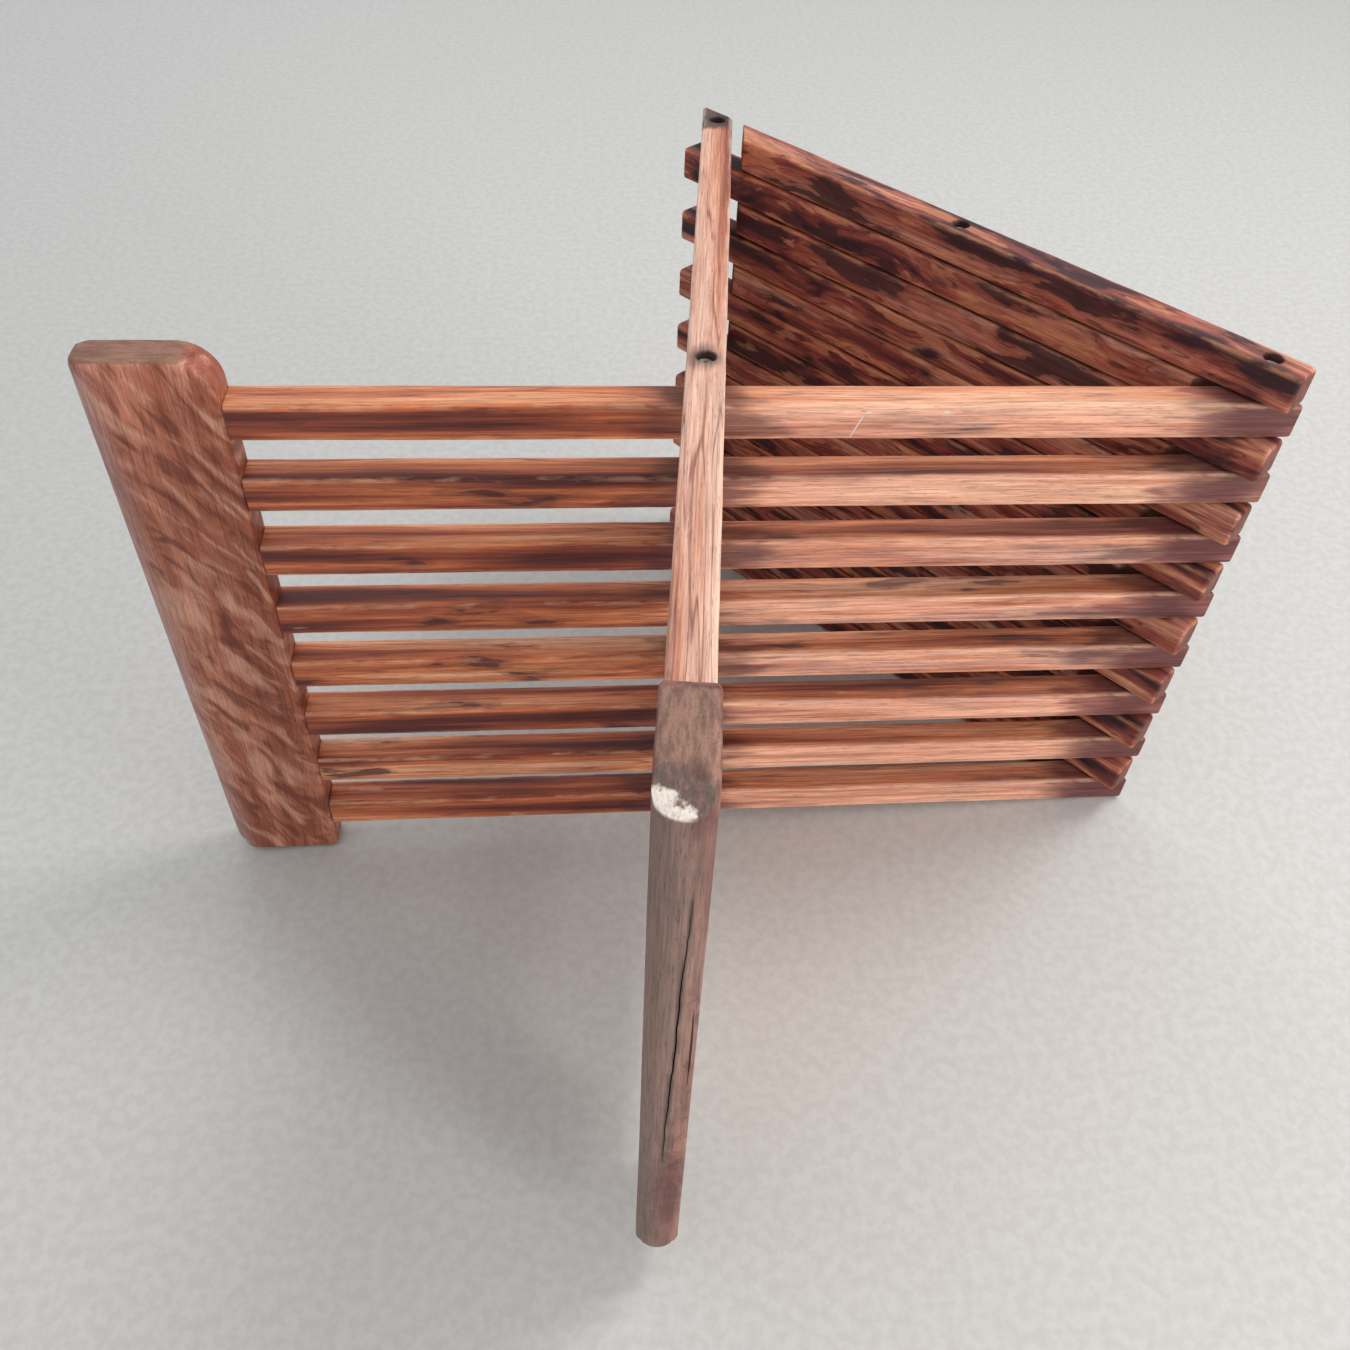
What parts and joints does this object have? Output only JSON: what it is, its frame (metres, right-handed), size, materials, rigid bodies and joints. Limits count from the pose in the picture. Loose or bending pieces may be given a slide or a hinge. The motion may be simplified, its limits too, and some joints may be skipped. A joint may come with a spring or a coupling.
{
  "type": "folding magazine rack",
  "caption": "Folding slatted wooden magazine rack: two crossed slatted sides with grip boards form a V over a hinged slatted base.",
  "frame": {"origin": "middle of the bounding box's footprint, at the height of the lowest point, which is the foot of grip board A", "axes": "+Z along the hinge rods, because the open rack is drawn standing on its side; +X along side A from its grip board to its corner rod, +Y from the reader's side to the far side. In use the rack is turned so that the base faces down."},
  "size_m": [0.5586, 0.5564, 0.3634],
  "materials": {
    "side_slat_wood": "oiled",
    "base_slat_wood": "oiled",
    "grip_board_wood": "satin",
    "dowel_wood": "plain",
    "rod_steel": "dull, lightly rusted"
  },
  "bodies": {
    "side_a": {"side_a_slat_1": "side_slat_wood", "side_a_slat_2": "side_slat_wood", "side_a_slat_3": "side_slat_wood", "side_a_slat_4": "side_slat_wood", "side_a_slat_5": "side_slat_wood", "side_a_slat_6": "side_slat_wood", "side_a_slat_7": "side_slat_wood", "side_a_slat_8": "side_slat_wood", "grip_board_a": "grip_board_wood", "grip_board_a_dowels": "dowel_wood", "crossing_rod": "rod_steel", "corner_rod_a": "rod_steel"},
    "side_b": {"side_b_slat_1": "side_slat_wood", "side_b_slat_2": "side_slat_wood", "side_b_slat_3": "side_slat_wood", "side_b_slat_4": "side_slat_wood", "side_b_slat_5": "side_slat_wood", "side_b_slat_6": "side_slat_wood", "side_b_slat_7": "side_slat_wood", "side_b_slat_8": "side_slat_wood", "grip_board_b": "grip_board_wood", "grip_board_b_dowels": "dowel_wood", "corner_rod_b": "rod_steel"},
    "base_a": {"base_a_slat_1": "base_slat_wood", "base_a_slat_2": "base_slat_wood", "base_a_slat_3": "base_slat_wood", "base_a_slat_4": "base_slat_wood", "base_a_slat_5": "base_slat_wood", "base_a_slat_6": "base_slat_wood", "base_a_slat_7": "base_slat_wood", "base_a_slat_8": "base_slat_wood", "middle_rod_in_base_a": "rod_steel"},
    "base_b": {"base_b_slat_1": "base_slat_wood", "base_b_slat_2": "base_slat_wood", "base_b_slat_3": "base_slat_wood", "base_b_slat_4": "base_slat_wood", "base_b_slat_5": "base_slat_wood", "base_b_slat_6": "base_slat_wood", "base_b_slat_7": "base_slat_wood", "base_b_slat_8": "base_slat_wood", "middle_rod_in_base_b": "rod_steel"}
  },
  "joints": [
    {"name": "fold", "type": "hinge", "parent": "side_a", "child": "side_b", "pos_m": [-0.00683, -0.00725, 0.0217], "axis": [0, 0, -1], "range_deg": [0, 78]},
    {"name": "base_a_hinge", "type": "hinge", "parent": "side_a", "child": "base_a", "pos_m": [0.25967, -0.00725, 0.0217], "axis": [0, 0, -1], "range_deg": [0, 124.71]},
    {"name": "base_b_hinge", "type": "hinge", "parent": "side_b", "child": "base_b", "pos_m": [0.02195, 0.25769, 0.0217], "axis": [0, 0, 1], "range_deg": [0, 124.71]}
  ],
  "couplings": [
    {"joint": "base_a_hinge", "follows": "fold", "ratio": 1.5981},
    {"joint": "base_b_hinge", "follows": "fold", "ratio": 1.5981}
  ]
}
